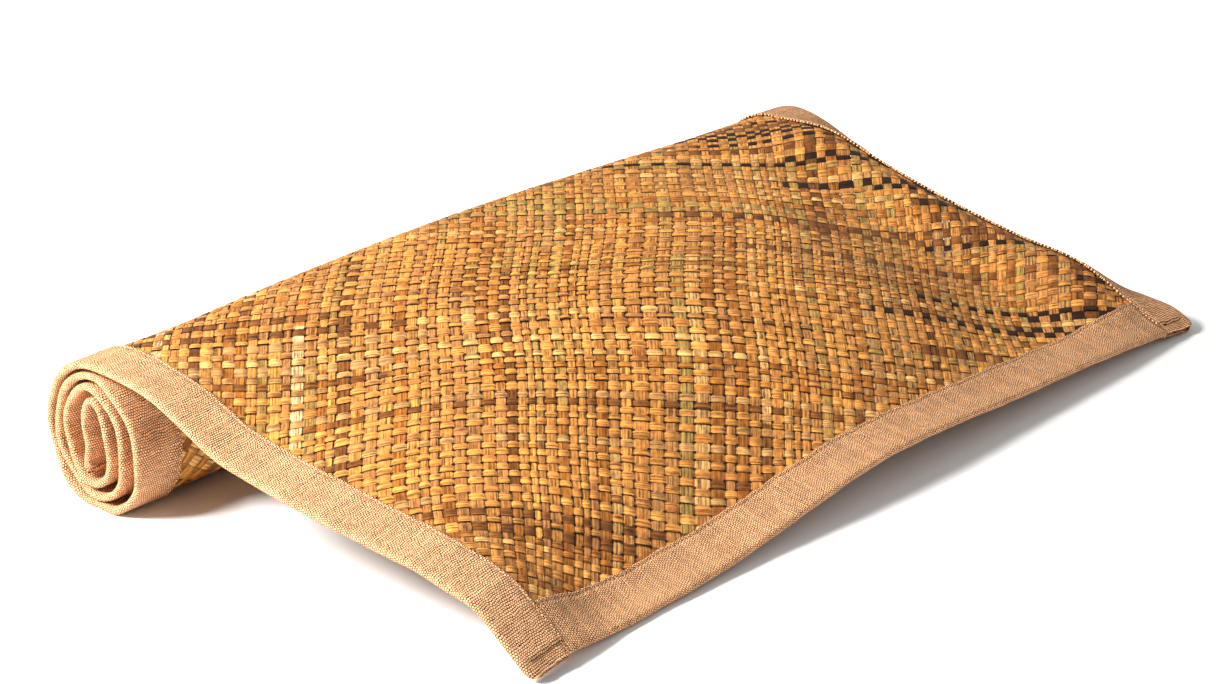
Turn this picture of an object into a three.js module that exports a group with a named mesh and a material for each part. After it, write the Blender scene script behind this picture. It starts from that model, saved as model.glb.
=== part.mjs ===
// A rolled seagrass mat, lying on the floor. The mat is one rectangle of plaited seagrass, bound
// with a folded strip of linen on each of its four edges. Most of it is rolled under into a loose
// oval roll, and the rest runs from the roll's top down to the floor as a domed ramp.
//
// Lengths are millimetres, Z is up. While the mat is shaped, x runs along the roll's axis from
// the near edge, and y runs from the free edge to the roll. At the end the whole mat is moved so
// that the origin is the middle of its bounding box, on the floor.

import * as THREE from 'three';

// The mat as it is cut and bound.
const matWidth = 600;
const matLength = 900;
const panelThickness = 2.2;
const bindingWidth = 30;
const bindingCloth = 0.7;
const fitGap = 0.3;
const halfPanel = panelThickness / 2;
const halfBound = halfPanel + fitGap + bindingCloth;
const inset = bindingCloth + fitGap;

// The roll is an oval spiral. Its outer side starts at the roll's top, and each whole turn moves
// the four sides of the oval by the amount given here.
const rollSides = {
  back: { start: 340, perTurn: -7 },
  front: { start: 257.4, perTurn: 11.5 },
  top: { start: 83, perTurn: -6.5 },
  bottom: { start: -5, perTurn: 6.6 },
};
const rollLean = 0.05;

// In its last turn the cloth hangs through the roll's core, away from the back. The tuck grows
// from the first of these turns to the second, and is gone again between the third and fourth.
const tuckDepth = 8;
const tuckTurns = [2.55, 3, 3.25, 3.45];

// The middle of the rolled cloth after a number of turns from the roll's top, as y and z.
function rollPoint(turns) {
  const side = (name) => rollSides[name].start + rollSides[name].perTurn * turns;
  const tuckedIn = THREE.MathUtils.smoothstep(turns, tuckTurns[0], tuckTurns[1]);
  const letOut = THREE.MathUtils.smoothstep(turns, tuckTurns[2], tuckTurns[3]);
  const back = side('back') - tuckDepth * tuckedIn * (1 - letOut);
  const halfDepth = (back - side('front')) / 2 - halfBound;
  const halfHeight = (side('top') - side('bottom')) / 2 - halfBound;
  const rise = halfHeight * Math.cos(2 * Math.PI * turns);
  const out = halfDepth * Math.sin(2 * Math.PI * turns);
  const y = (back + side('front')) / 2 + out + rollLean * rise;
  const z = (side('top') + side('bottom')) / 2 + rise;
  // The roll's weight flattens it where it lies on the floor.
  return { y, z: Math.max(z, halfBound) };
}

const rollTop = rollPoint(0);

// The free part hangs on ribs that cross the mat, each at one x. A rib starts at the free edge,
// at its edgeY, and its heights are those of the middle of the cloth over the floor, at the
// distances from the free edge in ribDistances.
const freeLength = 315;
const ribDistances = [0, 15, 30, 60, 110, 160, 210, 255, rollTop.y];
const ribs = [
  { x: 0, edgeY: -7, heights: [2.1, 14, 26, 35, 41, 47, 56, 75.5, 81] },
  { x: 30, edgeY: -5, heights: [5, 17, 28, 38, 45, 51, 59, 75, 81] },
  { x: 70, edgeY: -3, heights: [2.6, 7, 15, 33, 49, 58, 64, 76, 81] },
  { x: 140, edgeY: -2, heights: [4, 7, 12, 31, 53, 66, 73, 80, 84] },
  { x: 300, edgeY: 0, heights: [20, 21, 24, 38, 60, 74, 79, 83, 86] },
  { x: 420, edgeY: 0, heights: [15, 16, 20, 34, 53, 66, 75, 79, 82] },
  { x: 510, edgeY: 0, heights: [11, 13, 15, 21, 37, 51, 64, 74, 77.5] },
  { x: 570, edgeY: 0, heights: [5.5, 11, 19, 33, 41, 51, 64, 77, 76] },
  { x: 600, edgeY: -1, heights: [2.1, 9, 11, 12, 16, 25, 39, 60, 75] },
];

// Where the cloth is sampled: across the mat, along its free part, and in steps round the roll.
const acrossInside = [50, 75, 110, 160, 220, 280, 340, 400, 455, 500, 535];
const bindingSteps = [12, bindingWidth];
const alongFree = [45, 62, 88, 118, 150, 182, 208, 232, 256, 280];
const stepsInTurn = [22, 18, 14, 12];

// Colours, as seen on the mat in soft daylight.
const seagrassColour = 0xb88a4c;
const linenColour = 0xcda27a;

// A smooth curve through table values: the slope at each entry is that of the parabola through
// it and its two neighbours, and the curve ends with the slopes of its first and last spans.
function smooth(places, values, at, endSlope) {
  const last = places.length - 1;
  const slope = (k) => {
    if (k === last && endSlope !== undefined) return endSlope;
    const span = (i) => (values[i + 1] - values[i]) / (places[i + 1] - places[i]);
    if (k === 0) return span(0);
    if (k === last) return span(last - 1);
    const before = places[k] - places[k - 1];
    const after = places[k + 1] - places[k];
    return (span(k - 1) * after + span(k) * before) / (before + after);
  };
  let i = 0;
  while (i < last - 1 && at > places[i + 1]) i += 1;
  const width = places[i + 1] - places[i];
  const t = THREE.MathUtils.clamp((at - places[i]) / width, 0, 1);
  const t2 = t * t;
  const t3 = t2 * t;
  return values[i] * (2 * t3 - 3 * t2 + 1) + values[i + 1] * (3 * t2 - 2 * t3)
    + width * (slope(i) * (t3 - 2 * t2 + t) + slope(i + 1) * (t3 - t2));
}

// A curve as points, with the length from its start to each of them.
function measured(points) {
  const lengths = [0];
  for (let i = 1; i < points.length; i += 1) {
    const step = Math.hypot(points[i].y - points[i - 1].y, points[i].z - points[i - 1].z);
    lengths.push(lengths[i - 1] + step);
  }
  return { points, lengths };
}

// The point of a measured curve at a length from its start.
function pointAt(curve, length) {
  const { points, lengths } = curve;
  let i = 0;
  while (i < lengths.length - 2 && lengths[i + 1] < length) i += 1;
  const t = (length - lengths[i]) / (lengths[i + 1] - lengths[i]);
  const y = THREE.MathUtils.lerp(points[i].y, points[i + 1].y, t);
  const z = THREE.MathUtils.lerp(points[i].z, points[i + 1].z, t);
  return { y, z };
}

const samplesPerTurn = 240;
const rollCurve = measured(
  Array.from({ length: 4 * samplesPerTurn }, (_, i) => rollPoint(i / samplesPerTurn)),
);

// The free part of the mat at one x, from the free edge to the roll's top.
function rampCurve(x) {
  const places = ribs.map((rib) => rib.x);
  const heights = ribDistances.map(
    (_, k) => smooth(places, ribs.map((rib) => rib.heights[k]), x),
  );
  const edgeY = smooth(places, ribs.map((rib) => rib.edgeY), x);
  const samples = 320;
  const points = Array.from({ length: samples + 1 }, (_, i) => {
    const y = THREE.MathUtils.lerp(edgeY, rollTop.y, i / samples);
    return { y, z: smooth(ribDistances, heights, (rollTop.y * i) / samples, 0) };
  });
  return measured(points);
}

const rampCurves = new Map();

// The middle of the cloth, at x across the mat and at a distance along it from the free edge.
// The free part's true length differs by a few millimetres from rib to rib, and it is shared out
// evenly, so that every rib reaches the roll's top at freeLength.
function clothPoint(x, along) {
  if (!rampCurves.has(x)) rampCurves.set(x, rampCurve(x));
  const ramp = rampCurves.get(x);
  const top = ramp.points[ramp.points.length - 1].z;
  if (along <= freeLength) {
    const share = along / freeLength;
    const { y, z } = pointAt(ramp, share * ramp.lengths[ramp.lengths.length - 1]);
    return new THREE.Vector3(x, y, z);
  }
  const { y, z } = pointAt(rollCurve, along - freeLength);
  const tall = (top - halfBound) / (rollTop.z - halfBound);
  return new THREE.Vector3(x, y, halfBound + (z - halfBound) * tall);
}

// The same point lifted off the middle of the cloth, towards the mat's upper face.
function liftedPoint(x, along, lift) {
  const reach = 1;
  const across = clothPoint(Math.min(x + reach, matWidth), along)
    .sub(clothPoint(Math.max(x - reach, 0), along));
  const down = clothPoint(x, Math.min(along + reach, matLength))
    .sub(clothPoint(x, Math.max(along - reach, 0)));
  const normal = across.cross(down).normalize();
  return clothPoint(x, along).addScaledVector(normal, lift);
}

// Distances along the mat at which its free part and each turn of its roll are sampled.
function stationsAlong() {
  const stations = [...bindingSteps, ...alongFree, freeLength];
  stepsInTurn.forEach((steps, turn) => {
    for (let k = 1; k <= steps; k += 1) {
      const sample = Math.round((turn + k / steps) * samplesPerTurn);
      const rolled = rollCurve.lengths[Math.min(sample, rollCurve.lengths.length - 1)];
      stations.push(freeLength + rolled);
    }
  });
  const innerSteps = bindingSteps.map((depth) => matLength - depth).reverse();
  const kept = stations.filter((s) => s < innerSteps[0] - 4);
  return [inset, ...kept, ...innerSteps, matLength - inset];
}

// A closed solid swept from a closed outline. The outline's points are { to, lift }, where to is
// the place in the first direction and lift is the height off the cloth's middle. place turns to,
// a station in the second direction and lift into a point. The outline runs up one side of a thin
// section and back down the other, so its points face each other in pairs and the end caps are
// strips between them. Each four-sided patch is cut along the diagonal on which both directions
// grow, so that pieces lying on each other fold alike.
function sweptSolid(outline, stations, place) {
  const count = outline.length;
  const positions = [];
  stations.forEach((station) => {
    outline.forEach(({ to, lift }) => positions.push(...place(to, station, lift).toArray()));
  });
  const index = [];
  for (let j = 0; j < stations.length - 1; j += 1) {
    for (let i = 0; i < count; i += 1) {
      const next = (i + 1) % count;
      const [a, b] = [j * count + i, j * count + next];
      const [c, d] = [b + count, a + count];
      if (outline[next].to >= outline[i].to) index.push(a, b, c, a, c, d);
      else index.push(a, b, d, b, c, d);
    }
  }
  const lastRow = (stations.length - 1) * count;
  for (let i = 0; i < count / 2 - 1; i += 1) {
    const [a, b, c, d] = [i, i + 1, count - 2 - i, count - 1 - i];
    index.push(a, c, b, a, d, c);
    index.push(lastRow + a, lastRow + b, lastRow + c, lastRow + a, lastRow + c, lastRow + d);
  }
  const geometry = new THREE.BufferGeometry();
  geometry.setAttribute('position', new THREE.Float32BufferAttribute(positions, 3));
  geometry.setIndex(facingOut(positions, index));
  geometry.computeVertexNormals();
  return geometry;
}

// The triangles, turned over if the solid they close would be inside out.
function facingOut(positions, index) {
  const corner = (i) => new THREE.Vector3().fromArray(positions, 3 * i);
  let volume = 0;
  for (let i = 0; i < index.length; i += 3) {
    const [a, b, c] = [corner(index[i]), corner(index[i + 1]), corner(index[i + 2])];
    volume += a.dot(b.cross(c)) / 6;
  }
  return volume > 0 ? index : index.slice().reverse();
}

// The outline of a binding: a strip of cloth folded round the mat's edge. Each point's place is
// counted from the mat's edge inwards, and edgeAt and inwards turn that into a place on the mat.
function bindingOutline(edgeAt, inwards) {
  const lining = halfBound - bindingCloth;
  const outside = [...bindingSteps.slice().reverse(), inset].map((depth) => [depth, halfBound]);
  const inside = [...bindingSteps.slice().reverse(), inset].map((depth) => [depth, lining]);
  outside.push([0, halfBound / 2]);
  inside.push([bindingCloth, lining / 2]);
  const under = ([depth, lift]) => [depth, -lift];
  const around = [...outside, ...outside.slice().reverse().map(under)];
  const within = [...inside, ...inside.slice().reverse().map(under)];
  return [...around, ...within.reverse()]
    .map(([depth, lift]) => ({ to: edgeAt + inwards * depth, lift }));
}

const farSteps = bindingSteps.map((depth) => matWidth - depth).reverse();
const panelAcross = [inset, ...bindingSteps, ...acrossInside, ...farSteps, matWidth - inset];
const along = stationsAlong();

function seagrassPanel() {
  const top = panelAcross.map((to) => ({ to, lift: halfPanel }));
  const under = panelAcross.slice().reverse().map((to) => ({ to, lift: -halfPanel }));
  return sweptSolid([...top, ...under], along, liftedPoint);
}

function sideBinding(edgeAt, inwards) {
  return sweptSolid(bindingOutline(edgeAt, inwards), [0, ...along, matLength], liftedPoint);
}

function endBinding(edgeAt, inwards) {
  const start = bindingWidth + fitGap;
  const stations = [start, ...acrossInside, matWidth - start];
  const place = (to, x, lift) => liftedPoint(x, to, lift);
  return sweptSolid(bindingOutline(edgeAt, inwards), stations, place);
}

const seagrass = { color: seagrassColour, roughness: 0.62, metalness: 0 };
const linen = { color: linenColour, roughness: 0.9, metalness: 0 };
const mat = new THREE.Group();

function addPiece(name, geometry, look) {
  const mesh = new THREE.Mesh(geometry, new THREE.MeshStandardMaterial(look));
  mesh.name = name;
  mat.add(mesh);
}

addPiece('seagrass_panel', seagrassPanel(), seagrass);
addPiece('near_binding', sideBinding(0, 1), linen);
addPiece('far_binding', sideBinding(matWidth, -1), linen);
addPiece('free_end_binding', endBinding(0, 1), linen);
addPiece('rolled_end_binding', endBinding(matLength, -1), linen);

const box = new THREE.Box3().setFromObject(mat);
const middle = box.getCenter(new THREE.Vector3());
mat.position.set(-middle.x, -middle.y, -box.min.z);

export default mat;
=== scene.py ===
# %% [markdown]
# # A rolled seagrass mat
# The mat is one rectangle of plaited seagrass with a folded linen strip on each edge. The packed
# solids give its size and the shape in which it lies. This lesson plaits it from single strips
# of seagrass, sews the linen on, and lights it like a picture in a shop.

# %% Load the solids
import math

import bpy
import numpy as np
from mathutils import Matrix, Vector


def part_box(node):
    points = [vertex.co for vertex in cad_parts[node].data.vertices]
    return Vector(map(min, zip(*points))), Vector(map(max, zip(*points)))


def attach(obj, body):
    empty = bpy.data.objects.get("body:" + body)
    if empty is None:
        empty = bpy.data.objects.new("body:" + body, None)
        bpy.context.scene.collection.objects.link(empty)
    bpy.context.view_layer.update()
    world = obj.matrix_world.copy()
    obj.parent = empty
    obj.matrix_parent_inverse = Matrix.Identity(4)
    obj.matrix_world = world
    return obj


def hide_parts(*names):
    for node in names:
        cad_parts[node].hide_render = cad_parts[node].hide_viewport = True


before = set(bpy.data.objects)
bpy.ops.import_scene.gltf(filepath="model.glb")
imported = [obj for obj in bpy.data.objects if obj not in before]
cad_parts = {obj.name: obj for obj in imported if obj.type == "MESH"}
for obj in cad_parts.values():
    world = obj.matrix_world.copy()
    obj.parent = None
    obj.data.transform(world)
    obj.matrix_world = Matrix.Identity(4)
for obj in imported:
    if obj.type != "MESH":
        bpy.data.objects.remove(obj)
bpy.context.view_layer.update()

# %% [markdown]
# ## The measures of the mat
# A maker cuts the mat flat, so every place on it is named by two lengths: `across`, from the near
# side binding, and `along`, from the free end. Both are millimetres, as is the height `lift` over
# the middle of the cloth. Working in the flat mat keeps the plait's pattern simple, and one
# function then lays any flat place on the rolled shape. `LINEN` is the linen's thickness, and
# `HALF_BOUND` half the thickness of the bound edge.

# %% Measures
MM = 0.001
MAT_WIDTH = 600.0
MAT_LENGTH = 900.0
FREE_LENGTH = 315.0
BINDING_WIDTH = 30.0
LINEN = 0.7
HALF_BOUND = 2.1
chance = np.random.default_rng(12)
print(f"{MAT_WIDTH:.0f} by {MAT_LENGTH:.0f} mm, of which {MAT_LENGTH - FREE_LENGTH:.0f} mm rolled")

# %% [markdown]
# ## The shape in which the mat lies
# The cloth could be draped by simulation, but a roll with known turns is easier to draw: an oval
# spiral whose four sides move in by a fixed amount each turn. The free part hangs on ribs, each a
# smooth curve of heights over the floor. These are the same curves as those of the solids, so the
# plait lies exactly where they are.

# %% Roll and ribs
ROLL_SIDES = {
    "back": (340.0, -7.0),
    "front": (257.4, 11.5),
    "top": (83.0, -6.5),
    "bottom": (-5.0, 6.6),
}
ROLL_LEAN = 0.05
ROLL_TURNS = 4
TUCK_DEPTH = 8.0
TUCK_TURNS = (2.55, 3.0, 3.25, 3.45)
RIB_PLACES = np.array([0.0, 30, 70, 140, 300, 420, 510, 570, 600])
RIB_EDGES = np.array([-7.0, -5, -3, -2, 0, 0, 0, 0, -1])
RIB_HEIGHTS = np.array([
    [2.1, 14, 26, 35, 41, 47, 56, 75.5, 81],
    [5, 17, 28, 38, 45, 51, 59, 75, 81],
    [2.6, 7, 15, 33, 49, 58, 64, 76, 81],
    [4, 7, 12, 31, 53, 66, 73, 80, 84],
    [20, 21, 24, 38, 60, 74, 79, 83, 86],
    [15, 16, 20, 34, 53, 66, 75, 79, 82],
    [11, 13, 15, 21, 37, 51, 64, 74, 77.5],
    [5.5, 11, 19, 33, 41, 51, 64, 77, 76],
    [2.1, 9, 11, 12, 16, 25, 39, 60, 75],
])


def smooth_step(value, low, high):
    """0 under low, 1 over high, and 3 t^2 - 2 t^3 of the way t between."""
    t = np.clip((value - low) / (high - low), 0, 1)
    return t * t * (3 - 2 * t)


def roll_point(turns):
    """The cloth's middle after some turns from the roll's top, as y and z.

    The point runs round an oval, y = middle + half depth * sin and z = middle + half height *
    cos of the turned angle, while the oval's four sides move in. z is never under the floor.
    In the last turn the back side is tucked in, so that the cloth hangs through the core.
    """
    side = {name: start + step * turns for name, (start, step) in ROLL_SIDES.items()}
    tucked = smooth_step(turns, *TUCK_TURNS[:2]) * (1 - smooth_step(turns, *TUCK_TURNS[2:]))
    side["back"] = side["back"] - TUCK_DEPTH * tucked
    half_depth = (side["back"] - side["front"]) / 2 - HALF_BOUND
    half_height = (side["top"] - side["bottom"]) / 2 - HALF_BOUND
    rise = half_height * np.cos(2 * np.pi * turns)
    y = (side["back"] + side["front"]) / 2 + half_depth * np.sin(2 * np.pi * turns)
    z = (side["top"] + side["bottom"]) / 2 + rise
    return y + ROLL_LEAN * rise, np.maximum(z, HALF_BOUND)


top_y, top_z = (float(value) for value in roll_point(np.array(0.0)))
RIB_DISTANCES = np.array([0.0, 15, 30, 60, 110, 160, 210, 255, top_y])
print(f"top of the roll: {top_y:.1f} mm behind the free end, {top_z:.1f} mm up")

# %% [markdown]
# ## Smooth curves through few heights
# A straight line from rib to rib would show as a fold in the cloth. A cubic curve through the same
# heights has no corners, and its length tells how much cloth lies on it.

# %% Curves and their lengths
def smooth(places, values, at, end_slope=None):
    """A cubic curve through table rows: each slope is that of the parabola through a row and its
    two neighbours, and the curve ends with the slopes of its first and last spans."""
    spans = np.diff(places)[:, None]
    rises = np.diff(values, axis=0) / spans
    inner = (rises[:-1] * spans[1:] + rises[1:] * spans[:-1]) / (spans[:-1] + spans[1:])
    last = rises[-1:] if end_slope is None else np.full_like(rises[-1:], end_slope)
    slopes = np.concatenate([rises[:1], inner, last])
    i = np.clip(np.searchsorted(places, at, side="left") - 1, 0, len(places) - 2)
    span = spans[i]
    t = np.clip((at[:, None] - places[i][:, None]) / span, 0, 1)
    t2, t3 = t * t, t * t * t
    level = values[i] * (2 * t3 - 3 * t2 + 1) + values[i + 1] * (3 * t2 - 2 * t3)
    return level + span * (slopes[i] * (t3 - 2 * t2 + t) + slopes[i + 1] * (t3 - t2))


def lengths_of(y, z):
    """The length of each curve (one per row) from its start to each of its points: the sum of
    the distances from point to point."""
    steps = np.hypot(np.diff(y, axis=-1), np.diff(z, axis=-1))
    return np.concatenate([np.zeros_like(y[..., :1]), np.cumsum(steps, axis=-1)], axis=-1)


middle_rib = smooth(RIB_PLACES, RIB_HEIGHTS, np.array([MAT_WIDTH / 2]))
print("heights halfway across the mat:", middle_rib.round(1))

# %% [markdown]
# ## A chart of the shape
# The plait has hundreds of thousands of points, so the shape is worked out once on a chart, a
# grid of places on the flat mat with the point and the outward direction at each. Any other
# place is read from the chart by mixing its four neighbours.

# %% The chart
CHART_STEP = 5.0
ALONG_STEP = 0.5
RAMP_STEPS = 320
STEPS_IN_TURN = 240


def chart_of_shape():
    """Points and unit normals on a grid over the flat mat, in millimetres.

    The free part is each rib curve walked by its length, and the rest is the spiral walked by
    its length, scaled in height so that it starts where the rib ends.
    """
    xs = np.arange(0, MAT_WIDTH + CHART_STEP / 2, CHART_STEP)
    alongs = np.arange(0, MAT_LENGTH + ALONG_STEP / 2, ALONG_STEP)
    heights = smooth(RIB_PLACES, RIB_HEIGHTS, xs)
    edges = smooth(RIB_PLACES, RIB_EDGES[:, None], xs)
    samples = np.linspace(0, 1, RAMP_STEPS + 1)
    ramp_y = edges + (top_y - edges) * samples
    ramp_z = smooth(RIB_DISTANCES, heights.T, top_y * samples, 0.0).T
    ramp_lengths = lengths_of(ramp_y, ramp_z)

    turns = np.linspace(0, ROLL_TURNS, STEPS_IN_TURN * ROLL_TURNS + 1)
    roll_y, roll_z = roll_point(turns)
    roll_lengths = lengths_of(roll_y, roll_z)
    rolled = alongs - FREE_LENGTH
    wound_y = np.interp(rolled, roll_lengths, roll_y)
    wound_z = np.interp(rolled, roll_lengths, roll_z)

    points = np.zeros((len(xs), len(alongs), 3))
    points[..., 0] = xs[:, None]
    for row in range(len(xs)):
        wanted = np.clip(alongs / FREE_LENGTH, 0, 1) * ramp_lengths[row, -1]
        free_y = np.interp(wanted, ramp_lengths[row], ramp_y[row])
        free_z = np.interp(wanted, ramp_lengths[row], ramp_z[row])
        tall = (ramp_z[row, -1] - HALF_BOUND) / (top_z - HALF_BOUND)
        points[row, :, 1] = np.where(rolled > 0, wound_y, free_y)
        points[row, :, 2] = np.where(rolled > 0, HALF_BOUND + (wound_z - HALF_BOUND) * tall, free_z)
    normals = np.cross(
        np.gradient(points, CHART_STEP, axis=0), np.gradient(points, ALONG_STEP, axis=1)
    )
    return points, normals / np.linalg.norm(normals, axis=-1, keepdims=True)


chart_points, chart_normals = chart_of_shape()
print("the chart has", chart_points.shape[0], "by", chart_points.shape[1], "places")

# %% [markdown]
# ## Laying the flat mat
# The chart is still in the maker's millimetres, with its corner at the near end. The frame has
# its zero under the middle of the mat, so the chart moves until its box and the panel's share
# their middle. After that, every piece is drawn flat and laid by one call.

# %% Laying a flat place
panel_corners = np.array(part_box("seagrass_panel")[:2]) / MM
chart_low = chart_points.reshape(-1, 3).min(axis=0)
chart_high = chart_points.reshape(-1, 3).max(axis=0)
shift = (panel_corners.sum(axis=0) - chart_low - chart_high) / 2
shift[2] = 0.0


def read_chart(chart, across, along):
    """The chart's rows at any places, mixed from the four grid points round each."""
    i = np.clip(across / CHART_STEP, 0, chart.shape[0] - 1.001)
    j = np.clip(along / ALONG_STEP, 0, chart.shape[1] - 1.001)
    i0, j0 = i.astype(int), j.astype(int)
    u, v = (i - i0)[..., None], (j - j0)[..., None]
    near = chart[i0, j0] * (1 - v) + chart[i0, j0 + 1] * v
    far = chart[i0 + 1, j0] * (1 - v) + chart[i0 + 1, j0 + 1] * v
    return near * (1 - u) + far * u


def lay(across, along, lift):
    """Lays flat places on the rolled shape: point + lift * normal, in metres in the frame."""
    over = np.clip(across, 0, MAT_WIDTH) - across
    points = read_chart(chart_points, across, along)
    normals = read_chart(chart_normals, across, along)
    normals /= np.linalg.norm(normals, axis=-1, keepdims=True)
    points = points + np.asarray(lift)[..., None] * normals
    points[..., 0] -= over
    return (points + shift) * MM


print("the mat's plan is moved by", shift.round(3), "mm to reach the frame")

# %% [markdown]
# ## Meshes from arrays
# Every piece here is a grid of points with four-sided faces. `foreach_set` hands whole arrays to
# Blender at once, which is far quicker than adding faces one by one. A map (UV) in centimetres
# and a few named attributes go along, so that materials can follow the cloth.

# %% A piece from arrays
def make_piece(name, points, faces, cloth_map, attributes):
    """A mesh object from points (n, 3), quads (m, 4), map places (n, 2) and attributes."""
    mesh = bpy.data.meshes.new(name)
    mesh.vertices.add(len(points))
    mesh.vertices.foreach_set("co", points.astype(np.float32).ravel())
    mesh.loops.add(faces.size)
    mesh.loops.foreach_set("vertex_index", faces.astype(np.int32).ravel())
    mesh.polygons.add(len(faces))
    mesh.polygons.foreach_set("loop_start", np.arange(0, faces.size, 4, dtype=np.int32))
    mesh.update(calc_edges=True)
    mesh.polygons.foreach_set("use_smooth", np.ones(len(faces), dtype=bool))
    layer = mesh.uv_layers.new(name="cloth_map")
    layer.data.foreach_set("uv", cloth_map[faces.ravel()].astype(np.float32).ravel())
    for key, values in attributes.items():
        if values.ndim == 2:
            filled = np.concatenate([values, np.ones((len(values), 1))], axis=1)
            colours = mesh.color_attributes.new(name=key, type="FLOAT_COLOR", domain="POINT")
            colours.data.foreach_set("color", filled.astype(np.float32).ravel())
        else:
            numbers = mesh.attributes.new(key, "FLOAT", "POINT")
            numbers.data.foreach_set("value", values.astype(np.float32))
    piece = bpy.data.objects.new(name, mesh)
    bpy.context.scene.collection.objects.link(piece)
    return piece


def tube_faces(stations, ring, outwards=True):
    """Quads of a closed tube: `ring` points round it at each of `stations`, with strip caps.

    The ring's points face each other in pairs, so a cap is a strip of quads between the pairs.
    The corners are listed backwards where the ring runs the other way round.
    """
    i = np.arange(ring)
    j = np.arange(stations - 1)[:, None] * ring
    onward = (i + 1) % ring
    sides = np.stack([j + i, j + onward, j + ring + onward, j + ring + i], axis=-1)
    k = np.arange(ring // 2 - 1)
    cap = np.stack([k, ring - 1 - k, ring - 2 - k, k + 1], axis=-1)
    end = (stations - 1) * ring + cap[:, ::-1]
    faces = np.concatenate([sides.reshape(-1, 4), cap, end])
    return faces if outwards else faces[:, ::-1]


print("a closed tube of three rings of six points has", len(tube_faces(3, 6)), "quads")

# %% [markdown]
# ## The plait: where the strips cross
# The mat is plaited one over one, and its strips run slantwise over it. One family rises from the
# near side, the other falls. The two sets of strip numbers work as slanted coordinates, `a` across
# the rising strips and `b` across the falling ones. No two strips are equally wide, so the strips'
# places are sums of random widths, and a slow drift bends them all together as hands do.

# %% Two families of strips
RISING = math.radians(43.0)
FALLING = math.radians(-33.5)
STRIP_PITCH = 6.3
WIDTH_SPREAD = 0.22
NARROWEST, WIDEST = 3.9, 9.4
SPARE_STRIPS = 6

across_strips = {
    "rising": np.array([-math.sin(RISING), math.cos(RISING)]),
    "falling": np.array([-math.sin(FALLING), math.cos(FALLING)]),
}
to_plan = np.linalg.inv(np.stack(list(across_strips.values())))


def strip_places(normal):
    """Middles and widths of one family's strips, laid side by side over the whole mat.

    A width is the pitch times e to the power of a normal random number, within limits, and the
    widths are scaled so that their mean is the pitch.
    """
    corners = np.array([[0, 0], [MAT_WIDTH, 0], [0, MAT_LENGTH], [MAT_WIDTH, MAT_LENGTH]])
    reach = corners @ normal
    count = int((np.ptp(reach) + 2 * SPARE_STRIPS * STRIP_PITCH) / STRIP_PITCH)
    widths = STRIP_PITCH * np.exp(WIDTH_SPREAD * chance.standard_normal(count))
    widths = np.clip(widths, NARROWEST, WIDEST)
    widths *= STRIP_PITCH / widths.mean()
    edges = reach.min() - SPARE_STRIPS * STRIP_PITCH + np.concatenate([[0], np.cumsum(widths)])
    return (edges[:-1] + edges[1:]) / 2, widths


families = {family: strip_places(normal) for family, normal in across_strips.items()}


def plan_place(family, middle, run):
    """The flat place of a point `middle` across its own family and `run` across the other.

    The two slanted coordinates give x and y, and each gets two slow sines of a few millimetres,
    the sideways drift of handwork.
    """
    a, b = (middle, run) if family == "rising" else (run, middle)
    flat = a[..., None] * to_plan[:, 0] + b[..., None] * to_plan[:, 1]
    x, y = flat[..., 0], flat[..., 1]
    dx = 3.5 * np.sin(y / 61 + x / 140) + 1.6 * np.sin(x / 33 - y / 47 + 1.3)
    dy = 3.0 * np.sin(x / 72 - y / 160 + 0.6) + 1.5 * np.sin(y / 29 + x / 51 + 2.1)
    return x + dx, y + dy


for family, (places, _) in families.items():
    print(len(places), family, "strips")

# %% [markdown]
# ## The colours of the strips
# Dried seagrass is never one colour. A strip is spliced from leaves some twenty centimetres long,
# and each leaf is straw, honey, tan, olive or brown. Each leaf is drawn by chance from weights that
# depend on where it lies, with more of the darker colours at certain places. On the roll, past
# 340 mm along, the extra brown leaves are painted shade.

# %% Leaf colours
LEAF_COLOURS = {
    "straw": (0.89, 0.665, 0.39),
    "cream": (0.91, 0.745, 0.53),
    "honey": (0.83, 0.55, 0.27),
    "golden": (0.87, 0.595, 0.29),
    "tan": (0.77, 0.52, 0.29),
    "sand": (0.78, 0.57, 0.34),
    "olive": (0.72, 0.555, 0.29),
    "grey": (0.73, 0.66, 0.46),
    "amber": (0.70, 0.43, 0.18),
    "brown": (0.51, 0.31, 0.14),
    "dark": (0.20, 0.12, 0.06),
}
LEAF_WEIGHTS = {
    "rising": (0.8, 0.0, 3.6, 2.6, 3.4, 0.9, 0.9, 0.06, 1.6, 0.55, 0.0),
    "falling": (1.9, 0.10, 3.8, 3.2, 2.6, 0.9, 0.4, 0.02, 1.1, 0.45, 0.02),
}
LEAF_BRIGHTNESS = {"rising": 0.93, "falling": 1.06}
LEAF_LENGTH = 230.0
LEAVES_IN_STRIP = 18


def linear(colour):
    """A colour as shown on a screen, turned into light: each channel to the power 2.2."""
    return np.asarray(colour, float) ** 2.2


palette = linear(list(LEAF_COLOURS.values()))
leaf_names = list(LEAF_COLOURS)


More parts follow.
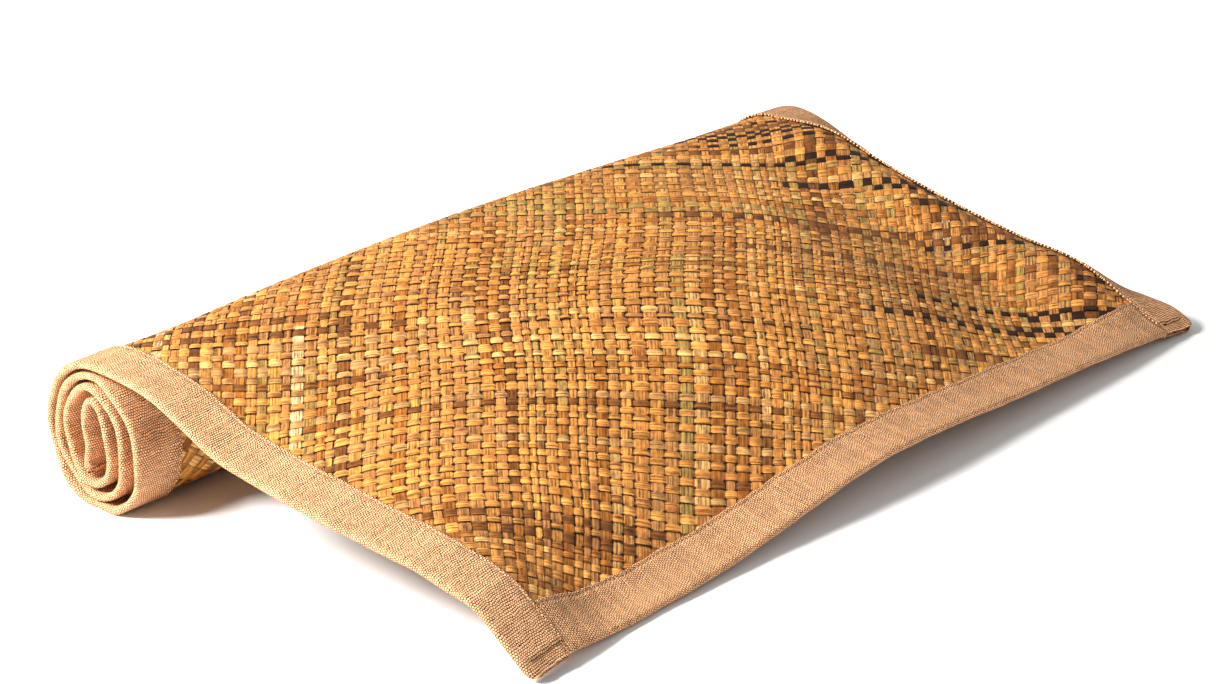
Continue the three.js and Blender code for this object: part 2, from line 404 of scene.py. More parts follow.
def leaf_weights(family, x, y):
    """The chance of each leaf colour at a plan place (x, y).

    The usual weights get more of some colours in a band at the far side and in two soft patches,
    each e to the power of minus the squared distance over its radius. Past 340 mm along, on the
    roll, more brown is painted shade.
    """
    weights = dict(zip(leaf_names, LEAF_WEIGHTS[family]))
    far_side = float(np.clip((x - 470) / 90, 0, 1))
    near_corner = math.exp(-((x - 60) ** 2 + (y - 50) ** 2) / 90**2)
    near_roll = math.exp(-((x - 50) ** 2 + (y - 290) ** 2) / 80**2)
    weights["dark"] += (6.0 * far_side + 1.8 * near_roll) * (family == "falling")
    weights["brown"] += 2.5 * far_side + 0.3 * near_corner + 5.0 * near_roll
    weights["cream"] += 0.6 * near_roll
    # Painted shade: more brown leaves past 340 mm along, where the roll lies in shade.
    weights["brown"] += 1.5 * (y > 340)
    weights["amber"] += 0.8 * near_corner
    weights["cream"] *= 1 - 0.8 * far_side
    weights["olive"] += 1.0 * (y > 110) * (x > 180)
    chances = np.array(list(weights.values()))
    return chances / chances.sum()


def leaf_tints(family, x, y, length):
    """The tint at each station of one strip, a leaf at a time.

    Leaves of half to one and a half times the usual length follow each other. A tint is the
    leaf's drawn colour times a random brightness, and it varies a little from place to place.
    """
    lengths = chance.uniform(0.5, 1.5, LEAVES_IN_STRIP) * LEAF_LENGTH
    starts = np.cumsum(lengths) - 1.5 * LEAF_LENGTH
    middles = starts + LEAF_LENGTH / 2
    leaf_x, leaf_y = np.interp(middles, length, x), np.interp(middles, length, y)
    picks = [
        chance.choice(len(palette), p=leaf_weights(family, *place))
        for place in zip(leaf_x, leaf_y)
    ]
    shades = palette[picks] * chance.normal(LEAF_BRIGHTNESS[family], 0.09, (LEAVES_IN_STRIP, 1))
    shades = shades * chance.normal(1.0, 0.015, (LEAVES_IN_STRIP, 3))
    leaf = np.clip(np.searchsorted(starts, length) - 1, 0, LEAVES_IN_STRIP - 1)
    return shades[leaf] * chance.normal(1.0, 0.04, (len(length), 1))


print(len(palette), "leaf colours, such as", leaf_names[0], palette[0].round(3))

# %% [markdown]
# ## The middle line of a strip
# Along its length a strip goes over and under the other family: it lies nearly flat on a strip
# and dives steeply between two. The steps sit where the shape bends, three for each crossing, and
# one where nobody looks, inside the roll.

# %% Stations along a strip
PANEL_INSET = 6.0
FULL_DETAIL_LENGTH = 560.0
STEP_PLACES = (-0.36, 0.0, 0.36)
STEP_HEIGHTS = (0.88, 1.0, 0.88)
FEWEST_STATIONS = 6


def stations(family, number):
    """The kept steps of one strip: crossing number, place along, own place, x, y and height."""
    own = families[family][0]
    other = families["falling" if family == "rising" else "rising"][0]
    crossing = np.repeat(np.arange(len(other)), len(STEP_PLACES))
    steps = crossing + np.tile(STEP_PLACES, len(other))
    run = np.interp(steps, np.arange(len(other)), other)
    middle = np.full_like(run, own[number])
    x, y = plan_place(family, middle, run)
    inside = (
        (x > PANEL_INSET) & (x < MAT_WIDTH - PANEL_INSET)
        & (y > PANEL_INSET) & (y < MAT_LENGTH - PANEL_INSET)
    )
    at_middle = np.tile(np.array(STEP_PLACES) == 0.0, len(other))
    kept = np.flatnonzero(inside & ((y < FULL_DETAIL_LENGTH) | at_middle))
    height = np.tile(STEP_HEIGHTS, len(other))
    return [row[kept] for row in (crossing, run, middle, x, y, height)]


print("a strip in the middle has", len(stations("rising", 60)[0]), "stations")

# %% [markdown]
# ## One strip
# A strip is a thin closed band with six points round it: two edges, two shoulders and two points
# underneath. A flat leaf with thin edges needs its shading told apart from its few faces, so each
# point gets its own normal, leaning outwards at the edges.

# %% Strips as closed bands
STRIP_THICKNESS = 0.62
OVER_UNDER = {"rising": 0.46, "falling": 0.60}
RING_OFFSETS = np.array([-1.0, -0.91, 0.91, 1.0, 0.82, -0.82])
RING_RISES = np.array([-0.05, 0.5, 0.5, -0.05, -0.5, -0.5]) * STRIP_THICKNESS
RING_LEANS = np.radians([-60.0, -4.0, 4.0, 60.0, 165.0, -165.0])[:, None]
# RING_SIDES becomes leaf_side, from which the seagrass finish paints shade along the edges and,
# past 1.0, on the underside.
RING_SIDES = np.array([1.0, 0.91, 0.91, 1.0, 1.4, 1.4])
CLOTH_EDGE = 1.5


def strip_gap(x, y):
    """The gap beside a strip: tight by the edges, and open enough for a hole in the middle.

    It is a constant plus a wide hill, e to the power of minus the squared distance, and a sine.
    """
    open_middle = np.exp(-(((x - 230) / 210) ** 2) - ((y - 170) / 170) ** 2)
    return 0.3 + 0.75 * open_middle + 0.12 * np.sin(x / 19 + y / 31)


def unit(vectors):
    """Vectors of length one: each divided by its length."""
    return vectors / np.maximum(np.linalg.norm(vectors, axis=-1, keepdims=True), 1e-12)


def band(family, number):
    """One strip's points, normals, map and attributes, or None where it misses the panel.

    Its middle is lifted by OVER_UNDER * side * height, where height is STEP_HEIGHTS within each
    crossing and side is 1 or -1 in turn, from crossing to crossing and from strip to strip.
    """
    rising = family == "rising"
    crossing, run, middle, x, y, height = stations(family, number)
    if len(crossing) < FEWEST_STATIONS:
        return None
    width = families[family][1][number]
    length = np.concatenate([[0], np.cumsum(np.hypot(np.diff(x), np.diff(y)))])
    gap = strip_gap(x, y)
    half_width = (width - gap) / 2 * (1 + 0.04 * np.sin(length / 29 + number))
    over = (-1.0) ** (number + crossing + (0 if rising else 1)) * height
    centre = OVER_UNDER[family] * over + 0.07 * np.sin(2.9 * crossing + 1.7 * number)

    shifted = middle[:, None] + half_width[:, None] * RING_OFFSETS
    ring_x, ring_y = plan_place(family, shifted, np.broadcast_to(run[:, None], shifted.shape))
    ring_x = np.clip(ring_x, CLOTH_EDGE, MAT_WIDTH - CLOTH_EDGE)
    ring_y = np.clip(ring_y, CLOTH_EDGE, MAT_LENGTH - CLOTH_EDGE)
    tilt = 0.09 * np.sin(number * 2.3 + crossing * 1.9)[:, None] * RING_OFFSETS
    points = lay(ring_x, ring_y, centre[:, None] + RING_RISES + tilt)

    lengthways = unit(np.gradient(points, axis=0))
    sideways = unit(points[:, 2] - points[:, 1])[:, None, :]
    outwards = unit(np.cross(sideways, lengthways) * (-1 if rising else 1))
    normals = unit(outwards * np.cos(RING_LEANS) + sideways * np.sin(RING_LEANS))

    ring = np.ones(len(RING_OFFSETS))
    map_along = (length + chance.uniform(0, 400))[:, None] * ring / 10
    map_across = (RING_OFFSETS * half_width[:, None] + 9 * number) / 10
    return {
        "points": points,
        "normals": normals,
        "cloth_map": np.stack([map_along, map_across], axis=-1),
        "leaf_tint": leaf_tints(family, x, y, length)[:, None, :] * ring[:, None],
        "over_under": over[:, None] * ring,
        "leaf_side": np.ones_like(over)[:, None] * np.sign(RING_OFFSETS) * RING_SIDES,
        "leaf_gap": gap[:, None] * ring,
        "flat_area": length[-1] * (width - 0.8) * MM * MM,
    }


# %% [markdown]
# ## Joining the strips
# Hundreds of single objects would be slow to handle, and one huge mesh hard to export. Each
# family is joined in four pieces of neighbouring strips instead.

# %% Pieces of many strips
STRIP_GROUPS = 4
LEAF_ATTRIBUTES = ("leaf_tint", "over_under", "leaf_side", "leaf_gap")


def join_bands(name, family, numbers):
    """One piece from many strips, and its flat area in square metres."""
    made = [strip for strip in (band(family, number) for number in numbers) if strip]
    shapes = [strip["points"].shape[:2] for strip in made]
    firsts = np.cumsum([0] + [rows * ring for rows, ring in shapes])
    faces = [
        tube_faces(*shape, outwards=family == "falling") + first
        for shape, first in zip(shapes, firsts)
    ]

    def joined(key):
        return np.concatenate([strip[key].reshape(-1, *strip[key].shape[2:]) for strip in made])

    attributes = {key: joined(key) for key in LEAF_ATTRIBUTES}
    faces = np.concatenate(faces)
    piece = make_piece(name, joined("points"), faces, joined("cloth_map"), attributes)
    piece.data.normals_split_custom_set_from_vertices(joined("normals").astype(np.float32))
    print(name, len(made), "strips,", 2 * len(faces), "triangles")
    return piece, sum(strip["flat_area"] for strip in made)


plait = []
for family, (places, _) in families.items():
    groups = np.array_split(np.arange(len(places)), STRIP_GROUPS)
    for share, numbers in enumerate(groups, start=1):
        plait.append(join_bands(f"{family}_strips_{share}", family, numbers))
print("the plait has", sum(2 * len(piece.data.polygons) for piece, _ in plait), "triangles")

# %% [markdown]
# ## The linen binding
# A strip of linen is folded round each edge, its own edges turned in and stitched through the
# mat. It is a profile carried along the edge: up one face, round the nose and back along the
# other, with the cloth's thickness between an outer and an inner line. A Solidify modifier could
# give that thickness too, but then the hem and the stitched groove would show inside as well.

# %% The folded section
STITCH_DEPTH = 28.1
NOSE_STEPS = 7


def binding_profile():
    """The folded section, outside then inside, as depth from the edge and height of the cloth.

    Each line runs along the upper face, round a half circle and back along the lower face.
    """
    nose = np.linspace(90, -90, NOSE_STEPS + 2)[1:-1] * math.pi / 180
    hem = [BINDING_WIDTH, 29.3, 28.7, STITCH_DEPTH, 27.4, 26.2, 24.5]
    face = np.concatenate([hem, np.linspace(21.5, HALF_BOUND, 7)])

    def line(height):
        depth = np.concatenate([face, HALF_BOUND - height * np.cos(nose), face[::-1]])
        upper, lower = np.full(len(face), height), np.full(len(face), -height)
        return depth, np.concatenate([upper, height * np.sin(nose), lower])

    return line(HALF_BOUND), line(HALF_BOUND - LINEN)


def edge_relief(depth, face):
    """How far the outer line swells: a turned-in hem, and the groove that the stitches pull,
    e to the power of minus the squared distance from the stitches."""
    hem = 0.45 * np.clip((depth - 22) / 3, 0, 1)
    groove = 0.55 * np.exp(-((depth - STITCH_DEPTH) / 0.8) ** 2)
    return np.where(np.abs(face) > HALF_BOUND - 0.01, hem - groove, 0.0)


print("the folded section has", 2 * len(binding_profile()[0][0]), "points")

# %% [markdown]
# ## Puckers and pulls
# Sewn linen is never smooth. The stitches pucker it in small waves, the rolled part is dented, the
# hem is ragged and the fold itself waves. Each of these is a sum of a few sines of the length
# `run` along the edge, with a phase of its own for each edge, so no two edges look alike.

# %% Waves in the linen
def puckered(depth, face, run, rolled, phase):
    """The height of the outer line: the face, its relief, three sines, and dents where rolled."""
    pucker = 0.16 * np.sin(run / 2.3 + phase) + 0.2 * np.sin(run / 5.9 + 2 * phase)
    pucker = pucker + 0.22 * np.sin(run / 13 + 3 * phase)
    body = np.clip(depth / 6, 0, 1) * np.clip((BINDING_WIDTH - depth) / 3, 0, 1)
    rise = face + np.sign(face) * (edge_relief(depth, face) + 0.6 * pucker * body)
    skew = depth / 6.5
    dents = np.sin(run / 8.3 + skew) * np.sin(run / 3.7 - 1.3 * skew + phase)
    return rise + 0.7 * rolled * dents * body * (face < 0)


def pulled(depth, run, rolled, phase):
    """How far the cloth is drawn in: two sines at the hem and two, more when rolled, at the
    fold."""
    ragged = 0.35 * np.sin(run / 7.7 + phase) + 0.25 * np.sin(run / 3.1 + phase)
    slack = 0.25 + 0.75 * rolled
    waving = 0.7 * np.sin(run / 6.1 + phase) + 0.6 * np.sin(run / 14.3 + 2.2 * phase)
    at_hem = ragged * np.clip((depth - 20) / 10, 0, 1)
    return at_hem + slack * waving * np.clip(1 - depth / 8, 0, 1)


wander = pulled(np.array([BINDING_WIDTH, 0.0]), np.arange(MAT_LENGTH)[:, None], 0.0, 0.4)
print("hem and fold wander by up to", np.abs(wander).max(axis=0).round(2), "mm")

# %% [markdown]
# ## The folded corners
# The side strips cover the corners. Their ends are turned under before they are sewn, which shows
# as a crease across the strip just short of its end, and the corner is a little round. The crease
# is a trough with a low ridge behind it, both soft, because a fold in cloth has no sharp line.

# %% Corner folds
CREASE_RUN = 8.5
CORNER_ROUND = 7.0


def corner_rounding(depth, run):
    """How far a quarter circle draws the corner in: radius - sqrt(radius^2 - rest^2)."""
    rest = np.clip(CORNER_ROUND - run, 0, CORNER_ROUND)
    rounding = CORNER_ROUND - np.sqrt(CORNER_ROUND**2 - rest**2)
    return rounding * np.clip(1 - depth / 20, 0, 1)


def crease(run):
    """The height over the turned-under end: a ridge, less a step down and a trough."""
    step_down = 0.75 * (1 - smooth_step(run, CREASE_RUN - 0.8, CREASE_RUN + 0.2))
    trough = 1.3 * np.exp(-((run - CREASE_RUN + 0.6) / 0.9) ** 2)
    ridge = 0.35 * np.exp(-((run - CREASE_RUN - 1.6) / 1.3) ** 2)
    return ridge - np.minimum(step_down + trough, 1.45)


print(f"the crease is {-crease(np.array(CREASE_RUN - 0.6)):.2f} mm deep")

# %% [markdown]
# ## Four strips of linen
# The two side strips run the mat's full length and cover the corners, and the two end strips lie
# between them. One function sews all four: an edge only says where a depth and a run lie on the
# flat mat, and whether the faces have to be turned round for it.

# %% Linen along each edge
END_START = BINDING_WIDTH + 0.3
END_STOP = MAT_WIDTH - END_START
EDGES = {
    "near": (lambda depth, run: (depth, run), 0.0, MAT_LENGTH),
    "far": (lambda depth, run: (MAT_WIDTH - depth, run), 0.0, MAT_LENGTH),
    "front": (lambda depth, run: (run, depth), END_START, END_STOP),
    "inner": (lambda depth, run: (run, MAT_LENGTH - depth), END_START, END_STOP),
}
PHASES = {"near": 0.4, "far": 1.9, "front": 3.1, "inner": 4.6}
BACKWARDS = {"near", "inner"}
FINE_LENGTH, FINE_STEP, COARSE_STEP = 14, 0.7, 3


def linen_strip(edge):
    """One folded strip along its edge, with fine steps at its start, where the corner is."""
    place, start, end = EDGES[edge]
    phase = PHASES[edge]
    covers_corner = start == 0.0
    (out_depth, out_face), (in_depth, in_face) = binding_profile()
    fine = np.arange(start, start + FINE_LENGTH, FINE_STEP)
    steps = int((end - start) / COARSE_STEP) + 1
    run = np.concatenate([fine, np.linspace(start + FINE_LENGTH, end, steps)])[:, None]
    rolled = np.clip((run - FREE_LENGTH) / 60, 0, 1) * covers_corner

    rise = puckered(out_depth, out_face, run, rolled, phase)
    pull = pulled(out_depth, run, rolled, phase)
    inner_rise = in_face + 0 * run
    if covers_corner:
        pull = pull + corner_rounding(out_depth, run)
        creased = smooth_step(out_depth, 7.0, 9.0) * (out_face > 0)
        rise = rise + creased * crease(run)
        inner_rise = np.where(creased > 0, np.minimum(inner_rise, rise - 0.35), inner_rise)
    depth = np.concatenate([out_depth + pull, (in_depth + pull)[:, ::-1]], axis=1)
    lift = np.concatenate([rise, inner_rise[:, ::-1]], axis=1)
    points = lay(*place(depth, np.broadcast_to(run, depth.shape)), lift)
    points[..., 2] = np.maximum(points[..., 2], 0.0)

    from_hem = np.cumsum(np.hypot(np.diff(out_depth), np.diff(out_face)))
    from_hem = np.concatenate([[0], from_hem])
    v = np.concatenate([from_hem, from_hem[::-1]])
    cloth_map = np.stack(np.broadcast_arrays(run / 10, v / 10), axis=-1)
    faces = tube_faces(*points.shape[:2], edge not in BACKWARDS)
    name = f"{edge}_linen"
    print(name, 2 * len(faces), "triangles")
    return make_piece(name, points.reshape(-1, 3), faces, cloth_map.reshape(-1, 2), {})


linen_pieces = {edge: linen_strip(edge) for edge in EDGES}

# %% [markdown]
# ## The stitches
# A row of thread holds each strip, close beside its hem, on both faces. A stitch could be a curve
# with a bevel, but there are hundreds, so each is a closed bead of sixteen points: four rings of
# four, thin at both ends and arched over the groove. The edge inside the roll gets none, because
# nobody sees it.

# %% Rows of thread
STITCH_PITCH = 3.2
STITCH_REACH = np.array([-1.2, -0.7, 0.7, 1.2])[:, None]
STITCH_THICK = np.array([0.08, 0.18, 0.18, 0.08])[:, None]
SEWN_EDGES = ("near", "far", "front")


def stitch_row(edge):
    """Stitches along both faces. Each is lifted by 0.1 + 0.2 * (1 - (reach / 1.2)^2) mm."""
    place, start, end = EDGES[edge]
    middles = np.arange(start + STITCH_PITCH, end - STITCH_PITCH / 2, STITCH_PITCH)
    across, up = np.array([-1.0, 0, 1, 0]), np.array([0.0, 1, 0, -1])
    arch = 0.1 + 0.2 * (1 - (STITCH_REACH / STITCH_REACH[-1]) ** 2)
    ring_faces = tube_faces(4, 4, edge in BACKWARDS)
    points, faces = [], []
    for face in (1, -1):
        run = middles[:, None, None] + STITCH_REACH + 0 * across
        depth = STITCH_DEPTH + STITCH_THICK * across + 0 * run
        lift = face * (HALF_BOUND + arch + STITCH_THICK * up) + 0 * run
        points.append(lay(*place(depth, run), lift).reshape(-1, 3))
        firsts = 16 * np.arange(len(middles)) + len(points[0]) * (face == -1)
        bead = ring_faces[:, ::face]
        faces.append((bead[None] + firsts[:, None, None]).reshape(-1, 4))
    points, faces = np.concatenate(points), np.concatenate(faces)
    points[:, 2] = np.maximum(points[:, 2], 0.0)
    name = f"{edge}_stitches"
    print(name, len(middles) * 2, "stitches,", 2 * len(faces), "triangles")
    return make_piece(name, points, faces, points[:, :2] * 100, {})


stitch_pieces = {edge: stitch_row(edge) for edge in SEWN_EDGES}

# %% [markdown]
# ## Shader maths as plain expressions
# Node trees are hard to read, so one small class wraps a socket. Sums and products of wrapped
# sockets add the Math nodes, and `node` makes any other node from its type, settings and inputs.

# %% A wrapped socket
class Signal:
    """A socket of a material. Arithmetic on it adds Math nodes."""

    def __init__(self, tree, socket=None):
        self.tree = tree
        self.socket = socket

    def node(self, kind, settings, inputs, output=0):
        """A new node of a kind: settings first, then the values or links of its sockets."""
        made = self.tree.nodes.new(kind)
        for key, value in settings.items():
            setattr(made, key, value)
        for key, value in inputs.items():
            if isinstance(value, Signal):
                self.tree.links.new(value.socket, made.inputs[key])
            else:
                made.inputs[key].default_value = value
        return Signal(self.tree, made.outputs[output])

    def math(self, operation, *values):
        """A Math node of some values, which is this signal alone where none are given."""
        inputs = dict(enumerate(values or (self,)))
        return self.node("ShaderNodeMath", {"operation": operation}, inputs)

    def __add__(self, other):
        return self.math("ADD", self, other)

    __radd__ = __add__

    def __sub__(self, other):
        return self.math("SUBTRACT", self, other)

    def __rsub__(self, other):
        return self.math("SUBTRACT", other, self)

    def __mul__(self, other):
        return self.math("MULTIPLY", self, other)

    __rmul__ = __mul__

    def __truediv__(self, other):
        return self.math("DIVIDE", self, other)

    def __pow__(self, other):
        return self.math("POWER", self, other)

    def clamped(self, low=0.0, high=1.0):
        """This signal, kept between low and high."""
        return self.node("ShaderNodeClamp", {}, {0: self, 1: low, 2: high})

    def mixed(self, share, low, high, blend="MIX"):
        """A Mix node of two colours, with the share of the second."""
        settings = {"data_type": "RGBA", "blend_type": blend}
        return self.node("ShaderNodeMix", settings, {0: share, 6: low, 7: high}, output=2)

    def tinted(self, colour):
        """This signal as a grey, times a colour."""
        settings = {"operation": "SCALE"}
        return self.node("ShaderNodeVectorMath", settings, {0: colour, 3: self})

    def parts(self):
        """The first two parts of a vector, as two signals."""
        made = self.node("ShaderNodeSeparateXYZ", {}, {0: self})
        return made, Signal(self.tree, made.socket.node.outputs[1])

    def feed(self, shader, name):
        """Links this signal to one of the shader's sockets."""
        self.tree.links.new(self.socket, shader.inputs[name])


def new_finish(name):
    """An empty material: its wrapped tree and its shader node."""
    material = bpy.data.materials.new(name)
    material.use_nodes = True
    tree = material.node_tree
    shader = tree.nodes["Principled BSDF"]
    return material, Signal(tree), shader


print("sums, differences, products, quotients and powers of sockets add Math nodes")

# %% [markdown]
# ## Seagrass
# Each strip has its leaf's tint. Along it run fine streaks, which a noise texture gives when its
# map is squeezed lengthways, and slow stains. Shade is painted into the tint: darker where the
# strip dives under a neighbour, along its edges and underside, in the open corners between strips
# and in thin cracks along the leaf. The ribs of the leaf are a low bump of the same streaks, and
# the skin of the leaf is a little glossy.

# %% The seagrass finish
BROWNING = (0.80, 0.66, 0.48, 1.0)


def seagrass_finish():
    """Tint * light, where painted shade falls in cracks, by the edges, in corners and where it
    dives.
    """
    material, signal, shader = new_finish("seagrass_leaf")
    u, v = signal.node("ShaderNodeUVMap", {"uv_map": "cloth_map"}, {}).parts()

    def attribute(name, output):
        return signal.node("ShaderNodeAttribute", {"attribute_name": name}, {}, output)

    tint = attribute("leaf_tint", 0)
    over, side, gap = (attribute(name, 2) for name in LEAF_ATTRIBUTES[1:])

    def noise(along, across, detail=3.0):
        """Cloudy noise with so many clouds to a centimetre along and across the strip."""
        place = signal.node("ShaderNodeCombineXYZ", {}, {0: u * along, 1: v * across, 2: 0.0})
        inputs = {"Vector": place, "Scale": 1.0, "Detail": detail}
        return signal.node("ShaderNodeTexNoise", {"noise_dimensions": "2D"}, inputs)

    streaks = noise(0.18, 9.0)
    fibres = noise(0.45, 30.0, 2.0)
    stains = noise(0.4, 0.9)
    spots = noise(2.4, 4.0, 2.0)
    # Painted shade: a thin dark line where the leaf is cracked.
    from_crack = (noise(0.04, 4.5, 0.0) - 0.5).math("ABSOLUTE")
    crack = (1.0 - 26.0 * from_crack).clamped()
    light = 0.92 + 2.4 * (streaks - 0.5) + 1.4 * (fibres - 0.5) + 1.2 * (spots - 0.5)
    light = light.clamped(0.2, 1.5) * (1.0 - 0.5 * crack)
    # Painted shade: darker where the strip dives under a neighbour, along its edges and underside,
    # and in the open corners between strips.
    sunk = (0.9 + 0.9 * over).clamped()
    from_middle = side.math("ABSOLUTE")
    painted_edge_shade = ((from_middle - 0.92) * 10.0).clamped()
    dive = (1.7 - 2.0 * over.math("ABSOLUTE")).clamped()
    corner = dive * ((from_middle - 0.7) * 8.0).clamped() * (gap * 1.4).clamped()
    light = light * (0.3 + 0.7 * sunk) * (1.0 - 0.5 * painted_edge_shade) * (1.0 - 0.97 * corner)
    browned = signal.mixed(1.0, tint, BROWNING, "MULTIPLY")
    warm = ((stains - 0.5) * 4.0 + (streaks - 0.5) * -2.0).clamped()
    light.tinted(signal.mixed(warm * 0.8, tint, browned)).feed(shader, "Base Color")
    (0.42 + 0.25 * streaks).feed(shader, "Roughness")
    relief = {"Strength": 0.6, "Distance": 0.0003, "Height": streaks * 0.8 + fibres * 0.5}
    signal.node("ShaderNodeBump", {}, relief).feed(shader, "Normal")
    shader.inputs["Specular IOR Level"].default_value = 0.3
    return material


seagrass = seagrass_finish()
for piece, _ in plait:
    piece.data.materials.append(seagrass)
print("the seagrass finish has", len(seagrass.node_tree.nodes), "nodes")

# %% [markdown]
# ## Linen
# Linen is a plain weave of uneven yarns a little over a millimetre apart. What shows of it is a
# field of small rounded floats, each row half a step beside the last, with a pinhole at each
# corner. Every yarn has its own tone. The colour carries a painted highlight on the floats and
# painted shade in the pinholes and in the stitches' needle holes. A photo of cloth would also do,
# but formulas on the strip's own map stay sharp from near and far.

# %% The linen finish
YARN_PITCH = 0.132
LINEN_COLOUR = tuple(linear((0.838, 0.628, 0.460)))
THREAD_COLOUR = (*linear((0.80, 0.63, 0.47)), 1.0)


def roundness(value):
    """The absolute sine of a half turn for each whole step: 0 between yarns, 1 on them."""
    return (value * math.pi).math("SINE").math("ABSOLUTE")


def linen_finish():
    """Colour * light, where light is high on the floats and falls in pinholes and pricks."""
    material, signal, shader = new_finish("tan_linen")
    place = signal.node("ShaderNodeUVMap", {"uv_map": "cloth_map"}, {})
    along, across = place.parts()

    def cloud(scale, detail):
        inputs = {"Vector": place, "Scale": scale, "Detail": detail}
        return signal.node("ShaderNodeTexNoise", {"noise_dimensions": "2D"}, inputs)

    def random_of(number, other):
        """A random value for each pair of whole numbers."""
        pair = signal.node("ShaderNodeCombineXYZ", {}, {0: number, 1: other, 2: 0.0})
        return signal.node("ShaderNodeTexWhiteNoise", {"noise_dimensions": "2D"}, {"Vector": pair})

    wobble = cloud(1.6, 3.0) - 0.5
    u = (along + wobble * 0.20) / YARN_PITCH
    row = u.math("FLOOR")
    v = (across + wobble * 0.16) / (YARN_PITCH * 1.08) + 0.5 * row
    column = v.math("FLOOR")
    round_u, round_v = roundness(u), roundness(v)
    height = (round_u * round_v) ** 0.7
    hole = ((1.42 - round_u - round_v) * 2.2).clamped()
    hole = (hole * (0.6 + 0.9 * random_of(row, column))).clamped()
    yarns = 0.55 * random_of(row, 3.3) + 0.45 * random_of(column, row)

    total = 2 * BINDING_WIDTH / 10 + 0.2
    from_edge = across.math("MINIMUM", across, total - across)
    beside = (from_edge - (BINDING_WIDTH - STITCH_DEPTH) / 10) / 0.05
    beside = (1.0 - beside * beside).clamped()
    pricked = roundness(along / (STITCH_PITCH / 10))
    pricks = beside * ((0.55 - pricked) * 4.0).clamped()

    # Painted light: a highlight on the floats, and shade in the pinholes and needle holes.
    light = 0.28 + 0.85 * height + 0.60 * yarns + 0.5 * cloud(0.8, 4.0)
    light = light * (1.0 - 0.97 * hole) * (1.0 - 0.85 * pricks)
    light.tinted(LINEN_COLOUR).feed(shader, "Base Color")
    relief = {"Strength": 0.6, "Distance": 0.0004, "Height": height - hole - pricks}
    signal.node("ShaderNodeBump", {}, relief).feed(shader, "Normal")
    shader.inputs["Roughness"].default_value = 0.9
    shader.inputs["Specular IOR Level"].default_value = 0.15
    return material


linen = linen_finish()
for piece in linen_pieces.values():
    piece.data.materials.append(linen)
thread, _, thread_shader = new_finish("linen_thread")
thread_shader.inputs["Base Color"].default_value = THREAD_COLOUR
thread_shader.inputs["Roughness"].default_value = 0.85
for piece in stitch_pieces.values():
    piece.data.materials.append(thread)
print("the linen finish has", len(linen.node_tree.nodes), "nodes")

# %% [markdown]
# ## The floor
# The mat lies on a plain pale floor, a wide disc. A white backdrop in a studio is lit from below
# or behind so that it is whiter than any paint, and here the floor glows a little instead. It
# doesn't glow under the mat, so the mat keeps its soft shadow.

# %% Floor
FLOOR_RADIUS = 9.0
RIM_POINTS = 64
GLOW_REACH = (0.31, 0.185)
GLOW_START = 0.98
GLOW_SLOPE = 8.0
angles = np.linspace(0, 2 * np.pi, RIM_POINTS + 1)[:-1]
rim = np.stack([FLOOR_RADIUS * np.cos(angles), FLOOR_RADIUS * np.sin(angles), 0 * angles], axis=-1)
floor_mesh = bpy.data.meshes.new("floor")
floor_mesh.from_pydata(rim.tolist(), [], [list(range(RIM_POINTS))])
floor = bpy.data.objects.new("floor", floor_mesh)
bpy.context.scene.collection.objects.link(floor)


def floor_finish():
    """White paint that glows a little, except under the mat.

    The glow is the slope times (distance - start), from 0 to 1, where distance is the larger of
    x and y, each as a share of its reach.
    """
    material, signal, shader = new_finish("floor_paint")
    x, y = signal.node("ShaderNodeTexCoord", {}, {}, output=3).parts()
    x = (x / GLOW_REACH[0]).math("ABSOLUTE")
    y = (y / GLOW_REACH[1]).math("ABSOLUTE")
    distance = x.math("MAXIMUM", x, y)
    ((distance - GLOW_START) * GLOW_SLOPE).clamped().feed(shader, "Emission Color")
    shader.inputs["Emission Strength"].default_value = 0.65
    shader.inputs["Base Color"].default_value = (0.88, 0.88, 0.88, 1.0)
    shader.inputs["Roughness"].default_value = 0.95
    shader.inputs["Specular IOR Level"].default_value = 0.1
    return material


floor.data.materials.append(floor_finish())
print("the floor is a disc of", 2 * FLOOR_RADIUS, "m")

# %% [markdown]
# ## Light
# One soft light stands to the left and behind, low enough that every strip throws a small shadow
# on its neighbour. A weak wide light from the front and the pale surroundings fill the shadows.

# %% Two lights and the surroundings
def soft_light(name, place, size, power, colour):
    """A square area light that faces the mat."""
    data = bpy.data.lights.new(name, "AREA")
    data.size = size
    data.energy = power
    data.color = colour
    light = bpy.data.objects.new(name, data)
    bpy.context.scene.collection.objects.link(light)
    light.location = place
    light.rotation_euler = (-Vector(place)).to_track_quat("-Z", "Y").to_euler()
    print(name, power, "W,", size, "m wide")


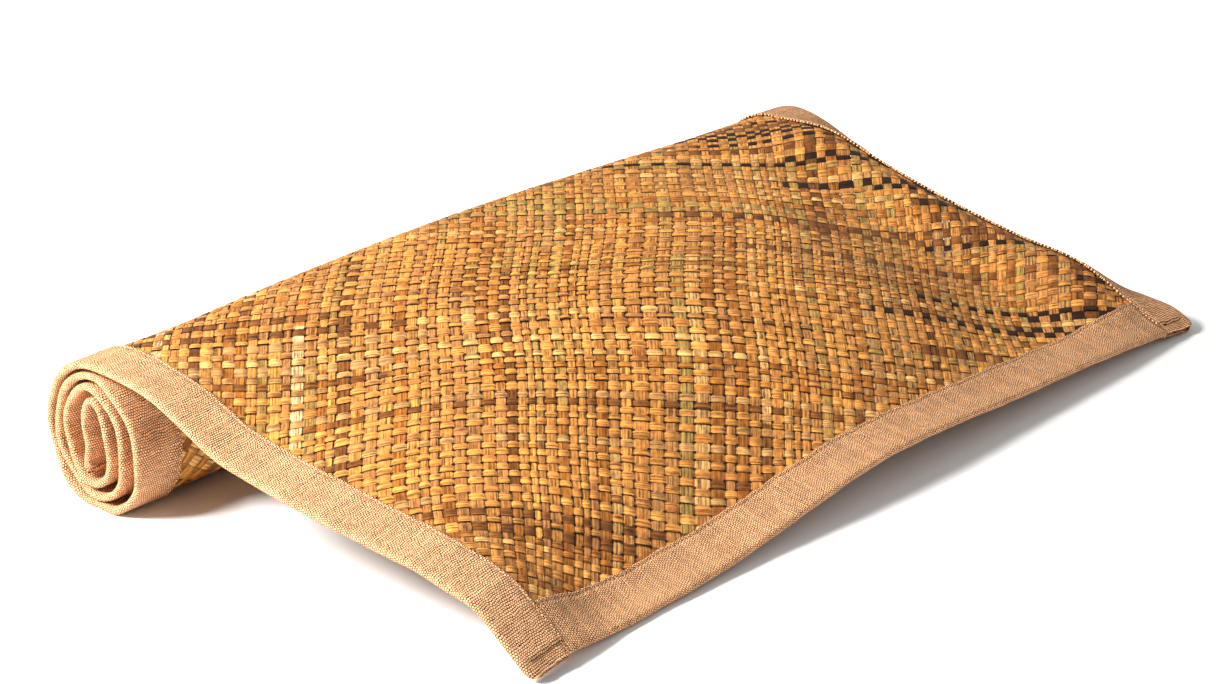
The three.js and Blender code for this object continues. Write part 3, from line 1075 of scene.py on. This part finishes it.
soft_light("key_light", (-1.12, 0.55, 0.92), 0.4, 48.0, (1.0, 0.98, 0.95))
soft_light("fill_light", (0.4, -2.6, 1.8), 2.4, 8.0, (1.0, 1.0, 1.0))
world = bpy.data.worlds.new("studio")
bpy.context.scene.world = world
world.use_nodes = True
world.node_tree.nodes["Background"].inputs["Color"].default_value = (1.0, 1.0, 1.0, 1.0)
world.node_tree.nodes["Background"].inputs["Strength"].default_value = 0.42
bpy.context.scene.view_settings.view_transform = "Standard"

# %% [markdown]
# ## Camera
# The camera looks down at the near corner through a long lens, from where the picture was taken.
# Its place and its turn were found by fitting the mat's corners and edges to the picture.

# %% Camera
PHOTO_WIDTH = 1217
FOCAL_PIXELS = 3392.0
CAMERA_PLACE = Vector((-1.3570, -1.1309, 0.7467))
CAMERA_ASIDE = Vector((0.6530, -0.7574, 0.0))
CAMERA_UP = Vector((0.2813, 0.2426, 0.9285))
lens = bpy.data.cameras.new("camera")
lens.sensor_width = 36.0
lens.lens = FOCAL_PIXELS / PHOTO_WIDTH * lens.sensor_width
lens.clip_end = 50.0
camera = bpy.data.objects.new("camera", lens)
bpy.context.scene.collection.objects.link(camera)
aside, up = CAMERA_ASIDE.normalized(), CAMERA_UP.normalized()
back = aside.cross(up).normalized()
turned = Matrix((aside, up, back)).transposed().to_4x4()
camera.matrix_world = Matrix.Translation(CAMERA_PLACE) @ turned
bpy.context.scene.camera = camera
print(f"a lens of {lens.lens:.0f} mm, {CAMERA_PLACE.length:.2f} m away")

# %% [markdown]
# ## Hand over to the frame
# Each piece rides on the one body and stands for the solid that it replaces, which is hidden.

# %% Pieces and solids
BOUND_EDGES = {
    "near": "near_binding",
    "far": "far_binding",
    "front": "free_end_binding",
    "inner": "rolled_end_binding",
}
for piece, area in plait:
    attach(piece, "root")
    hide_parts("seagrass_panel")
    area / (MAT_LENGTH * MM)
for edge, piece in linen_pieces.items():
    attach(piece, "root")
    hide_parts(BOUND_EDGES[edge])
for edge, piece in stitch_pieces.items():
    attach(piece, "root")
    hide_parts(BOUND_EDGES[edge])
print(len(plait) + len(linen_pieces) + len(stitch_pieces), "pieces stand for five solids")
